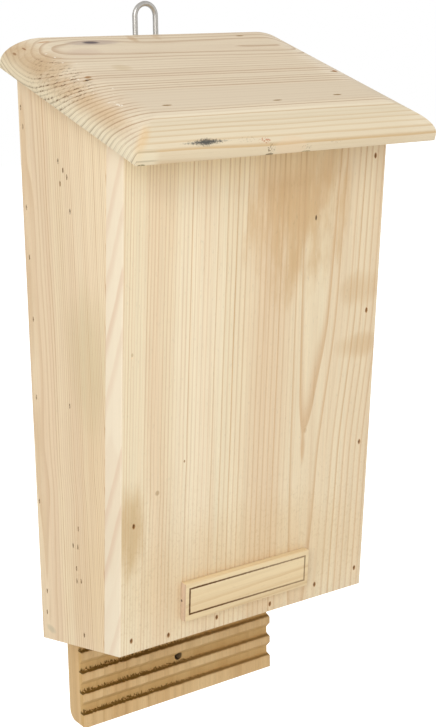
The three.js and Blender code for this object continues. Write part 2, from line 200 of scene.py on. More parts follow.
WORLD = Placement()
side_low, side_high = node_corners("left_side", WORLD)
BOX_HEIGHT = side_high[2] + JOINT_GAP / math.cos(ROOF_SLOPE)
ROOF = Placement((0.0, 0.0, BOX_HEIGHT), ROOF_SLOPE)
FRONT = Placement((0.0, -FOOT_DEPTH, FOOT_DEPTH * math.tan(FOOT_SLOPE)), FRONT_LEAN)

HALF_WIDTH = -side_low[0]
tail_low, tail_high = node_corners("back_board", WORLD)
INNER_HALF = tail_high[0]
TAIL_LENGTH = -tail_low[2]
roof_low, roof_high = node_corners("roof_board", ROOF)
PARTITION_TOP = node_corners("partition_board", WORLD)[1][2]
wire_low, wire_high = node_corners("hanger_wire", WORLD)
LOOP_MIDDLE_X = (wire_low[0] + wire_high[0]) / 2
LEGS_X = (LOOP_MIDDLE_X - LOOP_SPAN / 2, LOOP_MIDDLE_X + LOOP_SPAN / 2)


# Camera, stage and light

def make_camera():
    """The photograph's camera, from its place, its axis and a small roll."""
    back = Vector(CAMERA_BACK).normalized()
    right = Vector((-back.y, back.x, 0.0)).normalized()
    up = back.cross(right)
    c, s = math.cos(CAMERA_ROLL), math.sin(CAMERA_ROLL)
    right, up = right * c + up * s, up * c - right * s
    data = bpy.data.cameras.new("camera")
    data.sensor_width = SENSOR
    data.lens = LENS
    data.shift_x, data.shift_y = SHIFT
    data.clip_start, data.clip_end = CLIP_RANGE
    camera = bpy.data.objects.new("camera", data)
    turn = Matrix((right, up, back)).transposed().to_4x4()
    camera.matrix_world = Matrix.Translation(CAMERA_PLACE) @ turn
    bpy.context.scene.collection.objects.link(camera)
    bpy.context.scene.camera = camera


class Value:
    """A socket of a paint. Sums on it add Math nodes."""

    def __init__(self, paint, socket):
        self.paint = paint
        self.socket = socket

    def __add__(self, other):
        return self.paint.math("ADD", self, other)

    def __sub__(self, other):
        return self.paint.math("SUBTRACT", self, other)

    def __rsub__(self, other):
        return self.paint.math("SUBTRACT", other, self)

    def __mul__(self, other):
        return self.paint.math("MULTIPLY", self, other)

    def __truediv__(self, other):
        return self.paint.math("DIVIDE", self, other)

    def __rtruediv__(self, other):
        return self.paint.math("DIVIDE", other, self)

    def __pow__(self, other):
        return self.paint.math("POWER", self, other)

    __radd__ = __add__
    __rmul__ = __mul__


class Paint:
    """A node tree of a material or of the world, with the makers of values and colours."""

    def __init__(self, owner):
        owner.use_nodes = True
        self.owner = owner
        self.tree = owner.node_tree
        self.tree.nodes.clear()

    def node(self, kind, settings=None, sockets=None, out=0):
        """Adds a node, sets its settings, fills its sockets and gives one of its outputs."""
        node = self.tree.nodes.new("ShaderNode" + kind)
        for name, setting in (settings or {}).items():
            setattr(node, name, setting)
        for key, content in (sockets or {}).items():
            if isinstance(content, Value):
                self.tree.links.new(content.socket, node.inputs[key])
            else:
                node.inputs[key].default_value = content
        return Value(self, node.outputs[out]) if node.outputs else node

    def math(self, operation, *terms):
        """An operation on numbers, with its terms in their order."""
        return self.node("Math", {"operation": operation}, dict(enumerate(terms)))

    def scaled(self, colour, factor):
        """A colour or vector times a number."""
        return self.node("VectorMath", {"operation": "SCALE"}, {0: colour, "Scale": factor})

    def blend(self, factor, first, second):
        """From the first colour at 0 to the second at 1."""
        settings = {"data_type": "RGBA", "clamp_factor": True}
        return self.node("Mix", settings, {0: factor, 6: first, 7: second}, out=2)

    def rise(self, value, low, high):
        """A smooth step from 0 at low to 1 at high."""
        settings = {"interpolation_type": "SMOOTHSTEP"}
        return self.node("MapRange", settings, {0: value, 1: low, 2: high, 3: 0.0, 4: 1.0})

    def noise(self, vector, stretch, detail=2.0, roughness=0.5, shift=0.0):
        """Soft noise from 0 to 1, with so many waves per millimetre along each axis."""
        scaled = self.node(
            "Mapping", None,
            {"Vector": vector, "Location": (shift, shift, shift), "Scale": stretch},
        )
        sockets = {"Vector": scaled, "Scale": 1.0, "Detail": detail, "Roughness": roughness}
        return self.node("TexNoise", None, sockets)

    def dice(self, value):
        """A number from 0 to 1 that differs for each whole number."""
        return self.node("TexWhiteNoise", {"noise_dimensions": "1D"}, {"W": value})

    def surface(self, colour, roughness, normal=None, metallic=0.0, **constants):
        """Ends the tree in one Principled shader."""
        sockets = {"Base Color": colour, "Roughness": roughness, "Metallic": metallic}
        if normal is not None:
            sockets["Normal"] = normal
        sockets.update(constants)
        shader = self.node("BsdfPrincipled", None, sockets)
        self.node("OutputMaterial", None, {"Surface": shader})
        return self.owner


def new_paint(name):
    """The paint of a new material."""
    return Paint(bpy.data.materials.new(name))


def rgb(red, green, blue):
    """A colour as it is read off a screen, 0 to 255, in linear light."""
    channels = np.array([red, green, blue]) / 255.0
    low = channels / 12.92
    high = ((channels + 0.055) / 1.055) ** 2.4
    return (*np.where(channels <= 0.04045, low, high), 1.0)


def seen_directly(paint):
    """1 for rays from the camera or through glass, and 0 for rays that light things."""
    seen = paint.node("LightPath", out="Is Camera Ray")
    passed = paint.node("LightPath", out="Is Transmission Ray")
    return paint.math("MAXIMUM", seen, passed)


def make_world():
    """A white backdrop that lights the object with an even, soft light."""
    world = bpy.data.worlds.new("studio")
    bpy.context.scene.world = world
    paint = Paint(world)
    strength = AMBIENT + (1.0 - AMBIENT) * seen_directly(paint)
    light = paint.node("Background", None, {"Color": WHITE, "Strength": strength})
    paint.node("OutputWorld", None, {"Surface": light})


def make_floor():
    """A plain pale floor well below the box, which keeps the box's soft shadow."""
    level = tail_low[2] * MM - FLOOR_DROP
    corners = [(-1, -1), (1, -1), (1, 1), (-1, 1)]
    points = [(FLOOR_HALF * x, FLOOR_HALF * y, level) for x, y in corners]
    mesh = bpy.data.meshes.new("floor")
    mesh.from_pydata(points, [], [(0, 1, 2, 3)])
    floor = bpy.data.objects.new("floor", mesh)
    bpy.context.scene.collection.objects.link(floor)
    paint = new_paint("floor_paint")
    matt = paint.node("BsdfDiffuse", None, {"Color": FLOOR_TONE})
    glow = paint.node("Emission", None, {"Color": WHITE, "Strength": FLOOR_GLOW})
    bright = paint.node("AddShader", None, {0: matt, 1: glow})
    both = paint.node("MixShader", None, {"Fac": seen_directly(paint), 1: matt, 2: bright})
    paint.node("OutputMaterial", None, {"Surface": both})
    floor.data.materials.append(paint.owner)


def area_light(name, place, power):
    """A square soft lamp that looks at the middle of the box."""
    data = bpy.data.lights.new(name, "AREA")
    data.size = LAMP_SIZE
    data.energy = power
    lamp = bpy.data.objects.new(name, data)
    direction = Vector(LAMP_AIM) - Vector(place)
    turn = direction.to_track_quat("-Z", "Y").to_matrix().to_4x4()
    lamp.matrix_world = Matrix.Translation(place) @ turn
    bpy.context.scene.collection.objects.link(lamp)


make_camera()
make_world()
make_floor()
for lamp_name, (lamp_place, lamp_power) in LAMPS.items():
    area_light(lamp_name, lamp_place, lamp_power)


# Meshes

def make_object(name, points, faces, smooth_degrees=0.0):
    """A piece from its points in metres and its faces, smooth where it bends gently."""
    mesh = bpy.data.meshes.new(name)
    mesh.from_pydata(np.asarray(points, float), [], [list(face) for face in faces])
    mesh.validate()
    if smooth_degrees:
        mesh.shade_smooth()
        mesh.set_sharp_from_angle(angle=math.radians(smooth_degrees))
    piece = bpy.data.objects.new(name, mesh)
    bpy.context.scene.collection.objects.link(piece)
    return piece


def unit(vectors):
    """Each vector over its own length."""
    return vectors / np.maximum(np.linalg.norm(vectors, axis=-1, keepdims=True), 1e-9)


def grid_faces(rows, columns, closed_rows=False, closed_columns=False):
    """Quads of a grid of points numbered row by row, closed on itself where asked."""
    row = np.arange(rows if closed_rows else rows - 1)
    column = np.arange(columns if closed_columns else columns - 1)
    row, column = np.meshgrid(row, column, indexing="ij")
    next_row, next_column = (row + 1) % rows, (column + 1) % columns
    quads = np.stack([
        row * columns + column, next_row * columns + column,
        next_row * columns + next_column, row * columns + next_column,
    ], axis=-1)
    return quads.reshape(-1, 4).tolist()


def skin_faces(rings, count, turned=True):
    """Faces of a skin over rings of points, with a lid at either end.

    Turned, they face outwards where the rings run anticlockwise as seen from the last end,
    and otherwise where they run clockwise.
    """
    last = (rings - 1) * count
    faces = grid_faces(rings, count, closed_columns=True)
    faces += [list(range(count)), list(range(last, last + count))[::-1]]
    return [face[::-1] for face in faces] if turned else faces


def rounded(corners, radii, steps):
    """A closed outline whose corners are arcs.

    At each corner the arc starts and ends a tangent length away along the two sides, and its
    points swing about the centre on the corner's bisector. A radius of 0 keeps the corner.
    """
    corners = np.asarray(corners, float)
    radii = np.broadcast_to(np.asarray(radii, float), len(corners))[:, None]
    back = unit(np.roll(corners, 1, axis=0) - corners)
    ahead = unit(np.roll(corners, -1, axis=0) - corners)
    inner = np.arccos(np.clip((back * ahead).sum(1, keepdims=True), -1, 1))
    tangent = radii / np.tan(inner / 2)
    centre = corners + unit(back + ahead) * radii / np.sin(inner / 2)
    first = corners + back * tangent - centre
    last = corners + ahead * tangent - centre
    swing = np.maximum(math.pi - inner, 1e-6)[:, None]
    share = np.linspace(0, 1, steps + 1)[None, :, None]
    arc = np.sin((1 - share) * swing) * first[:, None] + np.sin(share * swing) * last[:, None]
    points = (centre[:, None] + arc / np.sin(swing)).reshape(-1, 2)
    gap = np.linalg.norm(points - np.roll(points, 1, axis=0), axis=1)
    return points[gap > 1e-5]


def inset(outline, amount):
    """An outline moved inwards along its normals; it runs anticlockwise."""
    run = unit(np.roll(outline, -1, axis=0) - np.roll(outline, 1, axis=0))
    return outline + amount * np.stack([-run[:, 1], run[:, 0]], axis=1)


def anticlockwise(outline):
    """The outline turned round where its area, half the sum of x dy - y dx, is negative."""
    x, y = outline[:, 0], outline[:, 1]
    area = (x * np.roll(y, -1) - np.roll(x, -1) * y).sum()
    return outline if area > 0 else outline[::-1]


def bar(name, outline, ends, place, stations=2, wobble=None):
    """A bar along X: a side view in y and z carried between two ends.

    Its arrises at the ends are eased by a quarter round: near an end the outline draws in by
    the easing's own rise. A wobble may move every ring of points a little.
    """
    outline = anticlockwise(outline)
    turn = np.linspace(0, math.pi / 2, EASING_STEPS + 1)
    along = END_EASING * (1 - np.cos(turn))
    draw = END_EASING * (1 - np.sin(turn))
    middle = np.linspace(ends[0] + END_EASING, ends[1] - END_EASING, stations)[1:-1]
    place_x = np.concatenate([ends[0] + along, middle, (ends[1] - along)[::-1]])
    drawn = np.concatenate([draw, np.zeros(len(middle)), draw[::-1]])
    rings = np.stack([inset(outline, amount) for amount in drawn])
    if wobble is not None:
        rings = wobble(rings, place_x)
    count = len(outline)
    x = np.repeat(place_x, count)[:, None]
    points = np.concatenate([x, rings.reshape(-1, 2)], axis=1)
    faces = skin_faces(len(place_x), count)
    return make_object(name, place.out(points), faces, SMOOTH_DEGREES)


def tube(name, path, width, sides=TUBE_SIDES):
    """A round bar: a circle carried along a path, square to it, with flat ends.

    The circle's two axes are the path's direction crossed with a fixed slanted vector, and
    that crossed with the direction again.
    """
    path = np.asarray(path, float)
    along = unit(np.gradient(path, axis=0))
    first = unit(np.cross(along, TUBE_SIDEWAYS))
    second = np.cross(along, first)
    turn = np.linspace(0, 2 * math.pi, sides, endpoint=False)[None, :, None]
    ring = np.cos(turn) * first[:, None] + np.sin(turn) * second[:, None]
    points = (path[:, None] + ring * width / 2).reshape(-1, 3)
    faces = skin_faces(len(path), sides)
    return make_object(name, WORLD.out(points), faces, TUBE_SMOOTH_DEGREES)


def settle(piece):
    """Bakes a piece's modifiers into its mesh."""
    graph = bpy.context.evaluated_depsgraph_get()
    mesh = bpy.data.meshes.new_from_object(piece.evaluated_get(graph))
    piece.modifiers.clear()
    piece.data = mesh


def cut(piece, cutters):
    """Takes other solids away from a piece and removes them, with sharp rims at the cuts."""
    for cutter in cutters:
        modifier = piece.modifiers.new("cut", "BOOLEAN")
        modifier.operation = "DIFFERENCE"
        modifier.solver = "EXACT"
        modifier.object = cutter
    settle(piece)
    piece.data.set_sharp_from_angle(angle=math.radians(SMOOTH_DEGREES))
    for cutter in cutters:
        bpy.data.objects.remove(cutter)


def join(pieces):
    """One object of several that don't touch."""
    with bpy.context.temp_override(
        active_object=pieces[0], object=pieces[0],
        selected_objects=pieces, selected_editable_objects=pieces,
    ):
        bpy.ops.object.join()
    return pieces[0]


def block(name, low, high, place):
    """A plain box between two corners: a rectangle in y and z at either end of its x."""
    y, z = (low[1], high[1]), (low[2], high[2])
    outline = np.array([[y[0], z[0]], [y[1], z[0]], [y[1], z[1]], [y[0], z[1]]])
    x = np.repeat([low[0], high[0]], len(outline))[:, None]
    points = np.concatenate([x, np.tile(outline, (2, 1))], axis=1)
    return make_object(name, place.out(points), skin_faces(2, len(outline)))


def slot(name, place, point, into, along, half):
    """The torn slot over a sunk brad: a ragged oval that narrows as it goes in.

    Levels of depth times angles: the oval's half axes shrink with depth, and each angle has
    a reach of its own, more so along the grain.
    """
    into, along = np.array(into, float), np.array(along, float)
    across = np.cross(into, along)
    turn = np.linspace(0, 2 * math.pi, SLOT_SIDES, endpoint=False)
    ragged = rng.uniform(*SLOT_RAGGED_SHARES, SLOT_SIDES)
    depth = np.array(SLOT_DEPTH_SHARES)[:, None] * SLOT_DEPTH
    narrow = np.array(SLOT_WIDTH_SHARES)[:, None]
    wide = (np.cos(turn) * half[0] * ragged)[None] * narrow
    length = (np.sin(turn) * half[1] * ragged)[None] * narrow
    points = (
        np.array(point) + wide[..., None] * across
        + length[..., None] * along + depth[..., None] * into
    ).reshape(-1, 3)
    faces = skin_faces(len(SLOT_DEPTH_SHARES), SLOT_SIDES, turned=False)
    return make_object(name, place.out(points), faces)


def brad_places(prefixes, place, left_out=()):
    """Middles of the brads whose names start so, in a local frame."""
    names = [name for name in sorted(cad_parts) if name.startswith(tuple(prefixes))]
    spans = [node_corners(name, place) for name in names if name not in left_out]
    return [(low + high) / 2 for low, high in spans]


# Wood

def oval(spot, middle, half):
    """Squared distance from a place, in half axes; an axis without a half doesn't count."""
    total = None
    for value, centre, reach in zip(spot, middle, half):
        if reach:
            step = (value - centre) / reach
            total = step * step if total is None else step * step + total
    return total


def within(paint, spot, middle, half, depth):
    """1 inside an oval and 0 outside; depth is how far in, as a share, it is whole."""
    return paint.rise(1.0 - oval(spot, middle, half), 0.0, depth)


def patch(at, half, force, tone, ragged=1.6, deep=(0.0, None)):
    """A patch of colour, for a stain and also for painted light: its middle and half axes, its
    strength, its tone and how ragged its rim is.

    Pairs go across and along the board. deep is the middle and the half axis into it, and a
    patch without that half axis runs right through.
    """
    return {
        "at": (at[0], deep[0], at[1]), "half": (half[0], deep[1], half[1]),
        "force": force, "colour": rgb(*tone), "ragged": ragged,
    }


def swirl(at, reach, push, deep=(0.0, None)):
    """A place that the rings bend round: they shift by push there, and less beyond reach."""
    return {"at": (at[0], deep[0], at[1]), "reach": (reach[0], deep[1], reach[1]), "push": push}


def knot(at, half, reach, push, force, tone, deep=(0.0, None, None)):
    """A knot: a swirl round a patch, with a half axis into the board for each of the two."""
    heart = patch(at, half, force, tone, 1.2, deep[:2])
    return {**heart, **swirl(at, reach, push, deep[::2])}


def brad_marks(prefixes, place, order, left_out=()):
    """Places of the brads' marks, across, into and along a board."""
    turn = [AXES.index(axis) for axis in order]
    return [point[turn] for point in brad_places(prefixes, place, left_out)]


# Noise layers: waves per millimetre across and along the grain, detail, roughness and shift
NOISE_LAYERS = {
    "bend": (0.012, 0.0035, 2.0, 0.5, 3.1),
    "ripple": (0.05, 0.012, 2.0, 0.5, 7.7),
    "band": (0.045, 0.0015, 3.0, 0.6, 11.3),
    "cloud": (0.09, 0.02, 4.0, 0.6, 31.7),
    "streak": (0.35, 0.005, 3.0, 0.6, 17.9),
    "fine": (1.1, 0.03, 2.0, 0.6, 23.3),
    "thread": (0.7, 0.004, 3.0, 0.6, 19.1),
    "speck": (0.9, 0.25, 1.0, 0.5, 29.1),
    "pores": (1.6, 1.6, 1.0, 0.5, 37.0),
    "slant": (0.08, 0.02, 2.0, 0.5, 47.0),
    "grime": (0.5, 0.4, 3.0, 0.7, 49.0),
    "pits": (0.55, 0.3, 2.0, 0.7, 53.0),
    "flakes": (0.3, 0.3, 1.0, 0.5, 57.0),
    "grains": (1.1, 0.8, 2.0, 0.6, 59.0),
    "teeth": (0.9, 0.06, 2.0, 0.7, 41.0),
    "burn": (0.4, 0.4, 2.0, 0.5, 43.0),
}


def softwood(name, place, order, pith, lean, rings, tones, seed, contrast=0.5, wander=2.0,
             marks=(), mark_size=(1.2, 2.4), stains_and_light=(), swirls=(), knots=(), end_shade=0.12,
             fibre=0.1, line=(0.45, 0.9), sway=None, squeeze=1.0, extra=None):
    """A board's wood: solid growth rings, fibres, end grain, tinted patches of stain and of painted
    light, knots and brad marks.

    order names the local axes that run across the board, into it and along the grain. The
    pith line is given by its place across and deep at along = 0 and by its lean, and the
    ring number is rings[0] * radius + rings[1] * radius ** rings[2]. line says between which
    shares of a ring its wood darkens. sway moves the rings across, between two places along
    and two places across, by its last value. On the pith's low side the rings stand closer
    by the factor squeeze. extra is a function that adds a board's own marks: it gets the
    colour so far, the place in the board, the ring lines and the noise.
    """
    paint = new_paint(name)
    local = paint.node("Mapping", {"vector_type": "TEXTURE"}, {
        "Vector": paint.node("TexCoord", out="Object"),
        "Location": tuple(place.origin * MM),
        "Rotation": (place.tilt, 0.0, 0.0),
        "Scale": (MM, MM, MM),
    })
    spot = [paint.node("SeparateXYZ", None, {0: local}, out=AXES.index(axis)) for axis in order]
    across, deep, along = spot

    def noise(layer):
        """One of the noise layers, stretched along this board's grain."""
        fine, long, detail, roughness, shift = NOISE_LAYERS[layer]
        waves = tuple(long if axis == order[2] else fine for axis in AXES)
        return paint.noise(local, waves, detail, roughness, seed + shift)

    # Growth rings round the pith line
    bend = (noise("bend") - 0.5) * (wander * 3.0)
    ripple = (noise("ripple") - 0.5) * wander
    beside = across - pith[0] - lean[0] * along
    if sway:
        moved = paint.rise(along, *sway[0]) * paint.rise(across, *sway[1])
        beside = beside - sway[2] * moved
    if squeeze != 1.0:
        beside = beside + (squeeze - 1.0) * paint.math("MINIMUM", beside, 0.0)
    below = deep - pith[1] - lean[1] * along
    radius = paint.math("SQRT", beside * beside + below * below) + bend + ripple
    for bent_at in (*swirls, *knots):
        radius = radius + bent_at["push"] / (1.0 + oval(spot, bent_at["at"], bent_at["reach"]))
    ring = rings[0] * radius
    if rings[1]:
        ring = ring + rings[1] * radius ** rings[2]
    number = paint.math("FLOOR", ring)
    share = ring - number
    late = paint.rise(share, *line) * (1.0 - paint.rise(share, line[1] + 0.03, 1.0))
    late = late * (0.25 + 0.9 * paint.dice(number))

    # End grain is where the surface faces along the fibres
    normal = paint.node("NewGeometry", out="Normal")
    facing = paint.node("SeparateXYZ", None, {0: normal}, out=AXES.index(order[2]))
    ends = paint.rise(paint.math("ABSOLUTE", facing), 0.25, 0.95)

    # Broad bands, ring lines and fine threads of darker fibres
    band = paint.rise(noise("band"), 0.33, 0.67)
    colour = paint.blend(band, tones["cream"], tones["blush"])
    cloud = noise("cloud") - 0.5
    # Tinted patches: stains, and painted light where a board lists it
    for tint in stains_and_light:
        inside = 1.0 - oval(spot, tint["at"], tint["half"])
        mask = paint.rise(inside + cloud * tint["ragged"], 0.0, 1.1)
        colour = paint.blend(mask * tint["force"], colour, tint["colour"])
    streak = noise("streak")
    fine = noise("fine")
    thread = paint.rise(noise("thread"), 0.5, 0.72)
    speck = paint.rise(noise("speck"), 0.62, 0.8)
    lines = late * (contrast * (1.0 + 0.5 * ends)) + 0.35 * contrast * thread
    colour = paint.blend(lines, colour, tones["late"])
    shade = 1.0 + fibre * (streak - 0.5) + fibre * (fine - 0.5) - 0.6 * fibre * speck
    colour = paint.scaled(colour, shade * (1.0 - end_shade * ends))

    for heart in knots:
        inside = 1.0 - oval(spot, heart["at"], heart["half"])
        mask = paint.rise(inside + cloud * heart["ragged"], 0.0, 0.8)
        colour = paint.blend(mask * heart["force"], colour, heart["colour"])
    if extra:
        colour = extra(paint, colour, across, deep, along, late, noise)
    torn = 0.0
    for mark in marks:
        half = (mark_size[0], None, mark_size[1])
        torn = paint.math("MAXIMUM", torn, within(paint, spot, mark, half, 0.75))
    if len(marks):
        colour = paint.blend(torn * (0.5 + 0.6 * fine), colour, tones["torn"])

    # Fibres stand up a little, and pores are open on the end grain
    pores = noise("pores")
    height = 0.5 * fine + 0.5 * streak - 0.35 * late + 1.2 * (ends * pores)
    bump = paint.node("Bump", None, {"Strength": 0.35, "Distance": 0.00025, "Height": height})
    rough = 0.62 + 0.12 * fine - 0.06 * late
    return paint.surface(colour, rough, bump, **{"Specular IOR Level": 0.2})


def wood_tones(cream, blush, late, torn):
    """The tones of a wood's pale and warm bands, its ring lines and its torn fibres."""
    return {"cream": rgb(*cream), "blush": rgb(*blush), "late": rgb(*late), "torn": rgb(*torn)}


FRONT_TONES = wood_tones((237, 221, 188), (231, 209, 175), (208, 172, 130), (156, 104, 44))
SIDE_TONES = wood_tones((238, 220, 184), (229, 205, 171), (204, 169, 128), (104, 80, 48))
ROOF_TONES = wood_tones((232, 216, 188), (226, 207, 179), (186, 153, 119), (156, 118, 60))
BACK_TONES = wood_tones((217, 185, 136), (206, 170, 120), (174, 134, 80), (90, 62, 24))
PLATE_TONES = wood_tones((236, 214, 172), (228, 202, 158), (206, 172, 126), (74, 46, 20))


STREAK_PITCH = 15.0
STREAK_SLANT = 0.38


def edge_streaks(paint, colour, across, deep, along, late, noise):
    """Pale edge of the front board, with pinkish streaks that cross it on a slant.

    A streak goes from the board's face above to its back below, so that depth plus a share
    of the height is the same all along it.
    """
    phase = (deep + STREAK_SLANT * along) / STREAK_PITCH + 0.25 * noise("slant")
    number = paint.math("FLOOR", phase)
    share = phase - number
    streak = paint.rise(share, 0.4, 0.8) * (1.0 - paint.rise(share, 0.85, 1.0))
    edge = 1.0 - paint.rise(across, 0.4 - HALF_WIDTH, 1.4 - HALF_WIDTH)
    pale = paint.blend(0.75 * edge, colour, rgb(243, 228, 202))
    colour = paint.blend(0.6 * edge * streak * paint.dice(number), pale, rgb(222, 190, 160))
    rough = paint.rise(noise("grime"), 0.52, 0.66)
    low = 1.0 - paint.rise(along, 60.0, 150.0)
    return paint.blend(0.16 * low * rough * (1.0 - edge), colour, rgb(186, 152, 104))


# Zones of the roof, across from its back edge and along from its middle: rises and spots
PLAIN_BAND = ((-143.0, -136.0), (-104.0, -111.0))
CALM_SPOT = ((-27.0, 73.0), (3.4, 24.0))
PITTED_SPOT = ((-66.0, -109.0), (44.0, 15.0))
TORN_SPOT = ((-80.0, -99.0), (62.0, 9.0))
SMUDGE_MIDDLE = (-172.1, 10.5, -68.7)
SMUDGE_HALF = (3.4, 19.0)
FRONT_ROUND = (-141.0, -158.0)
LEFT_ROUND = (-100.0, -108.0)
LIP = (-150.0, -160.0)

# Marks on the roof's lip: middle and half axes along and up, specks, strength and tone
LIP_MARKS = [
    ((-4.7, 4.5), (14.0, 7.0), 0.3, 0.3, (236, 204, 166)),
    ((-25.6, 9.2), (5.5, 1.8), 0.52, 0.75, (188, 104, 66)),
    ((-20.2, 4.6), (3.4, 3.6), 0.53, 0.75, (112, 84, 56)),
    ((-21.0, 0.5), (3.4, 0.8), 0.35, 0.8, (92, 76, 44)),
    ((8.0, 0.4), (4.0, 0.7), 0.4, 0.6, (142, 122, 72)),
    ((8.2, 3.4), (5.0, 2.2), 0.56, 0.45, (160, 140, 110)),
    ((-37.9, 10.4), (8.0, 1.7), 0.56, 0.35, (160, 146, 120)),
    ((33.0, 5.8), (7.0, 1.6), 0.55, 0.4, (176, 156, 126)),
    ((-114.6, 0.2), (3.2, 0.9), 0.35, 0.8, (112, 98, 50)),
]


def roof_weather(paint, colour, across, deep, along, late, noise):
    """Paler, softer rounds, a plain band, torn specks, a grey smudge and marks on the lip."""
    plain = paint.rise(across, *PLAIN_BAND[0]) * paint.rise(across, *PLAIN_BAND[1])
    colour = paint.blend(0.8 * plain * paint.rise(along, -100.0, -84.0), colour, rgb(225, 208, 181))
    calm = within(paint, (across, along), *CALM_SPOT, 0.5)
    colour = paint.blend(0.75 * calm, colour, rgb(228, 211, 183))
    ahead = across - roof_low[1]
    beyond = along - roof_low[0]
    front = paint.rise(across, *FRONT_ROUND) * paint.rise(beyond - ahead, -3.0, 3.0)
    round_tone = paint.blend(paint.rise(deep, 19.9, 18.7), rgb(252, 240, 213), rgb(226, 211, 180))
    round_tone = paint.blend(paint.rise(deep, 12.0, 5.0), round_tone, rgb(219, 199, 163))
    colour = paint.blend(0.6 * front, colour, round_tone)
    colour = paint.blend(0.5 * front * late, colour, rgb(216, 180, 126))

    # The left round: a warm mitre, and dark thin rings on greyer wood along its low edge
    mitre = paint.rise(paint.math("ABSOLUTE", beyond - ahead), 7.0, 1.0)
    mitre = mitre * paint.rise(deep, 20.0, 17.0)
    left = paint.rise(along, *LEFT_ROUND)
    colour = paint.blend(0.5 * mitre * left, colour, rgb(232, 194, 138))
    low = paint.rise(deep, 14.0, 4.0) * left
    colour = paint.blend(0.7 * low, colour, rgb(238, 225, 194))
    thin = paint.rise(late, 0.5, 0.85)
    between = paint.rise(late, 0.02, 0.1) * paint.rise(late, 0.34, 0.16)
    colour = paint.blend(low * (0.42 * thin + 0.34 * between), colour, rgb(126, 108, 76))

    # Short dark pits follow some rings in the middle of the left round
    pits = paint.rise(noise("pits"), 0.52, 0.6)
    cluster = within(paint, (across, along), *PITTED_SPOT, 0.7)
    rows = 0.25 + 0.75 * paint.rise(late, 0.1, 0.5)
    colour = paint.blend(0.85 * pits * cluster * rows, colour, rgb(104, 70, 36))

    # Pale specks where the round begins
    torn = paint.rise(noise("flakes"), 0.7, 0.76)
    zone = within(paint, (across, along), *TORN_SPOT, 0.4)
    colour = paint.blend(0.9 * torn * zone, colour, rgb(250, 242, 226))

    # Marks on the lip, and a grey smudge that is pointed at both ends
    lip = paint.rise(across, *LIP)
    grains = noise("grains")
    for middle, half, specks, force, tone in LIP_MARKS:
        inside = within(paint, (along, deep), middle, half, 0.5)
        grain = paint.rise(grains, specks, specks + 0.06)
        colour = paint.blend(force * inside * grain * lip, colour, rgb(*tone))
    ends = paint.math("ABSOLUTE", along - SMUDGE_MIDDLE[2]) / SMUDGE_HALF[1]
    sides = across - SMUDGE_MIDDLE[0] + 0.55 * (deep - SMUDGE_MIDDLE[1])
    sides = paint.math("ABSOLUTE", sides) / SMUDGE_HALF[0]
    smudge = paint.rise(1.0 - ends - sides + 1.3 * (grains - 0.5), -0.05, 0.75)
    return paint.blend(0.95 * smudge * lip, colour, rgb(74, 74, 72))


def tail_burns_and_shade(paint, colour, across, deep, along, late, noise):
    """Burnt, combed ledges that the cutter leaves in the grooves, and painted shade: browner groove
    floors and a dark screw hole.

    The height over a groove's foot and the depth under the ribs say where the ledges and
    floors are. On the left the burn rises from a ledge in short upright teeth.
    """
    climb = (along + (TAIL_LENGTH - LOWEST_RIB)) / GROOVE_PITCH
    up = GROOVE_PITCH * (climb - paint.math("FLOOR", climb))
    under = deep + BACK_BOARD
    front = 1.0 - paint.rise(under, GROOVE_DEPTH + 0.6, GROOVE_DEPTH + 1.4)
    left = paint.rise(across, 50.0, -50.0)
    teeth = paint.rise(noise("teeth"), 0.42, 0.66)
    over = up - GROOVE_LEDGE + 0.1 - (2.3 * left) * teeth
    burnt = paint.rise(over, 0.0, -0.7) * paint.rise(under, 0.4, 1.2) * front
    # Painted shade: the groove floors and flanks under the ribs darken to a warm brown
    groove_shade = paint.rise(under, 0.1, 1.8) * front
    colour = paint.blend(0.5 * groove_shade, colour, rgb(190, 150, 84))
    colour = paint.blend((0.68 + 0.28 * left) * burnt, colour, rgb(100, 72, 18))
    aside = across - SCREW_ASIDE
    hole = paint.math("SQRT", aside * aside + (along + SCREW_DROP) ** 2.0)
    # Painted shade in the screw hole: its wall turns dark brown, most on the left, where the light
    # doesn't reach
    hole_shade = paint.rise(hole, SCREW_HOLE / 2 + 0.6, SCREW_HOLE / 2 + 0.2)
    hole_shade = hole_shade * (0.65 + 0.35 * paint.rise(aside, 1.8, 0.0))
    return paint.blend(0.9 * hole_shade, colour, rgb(52, 32, 14))


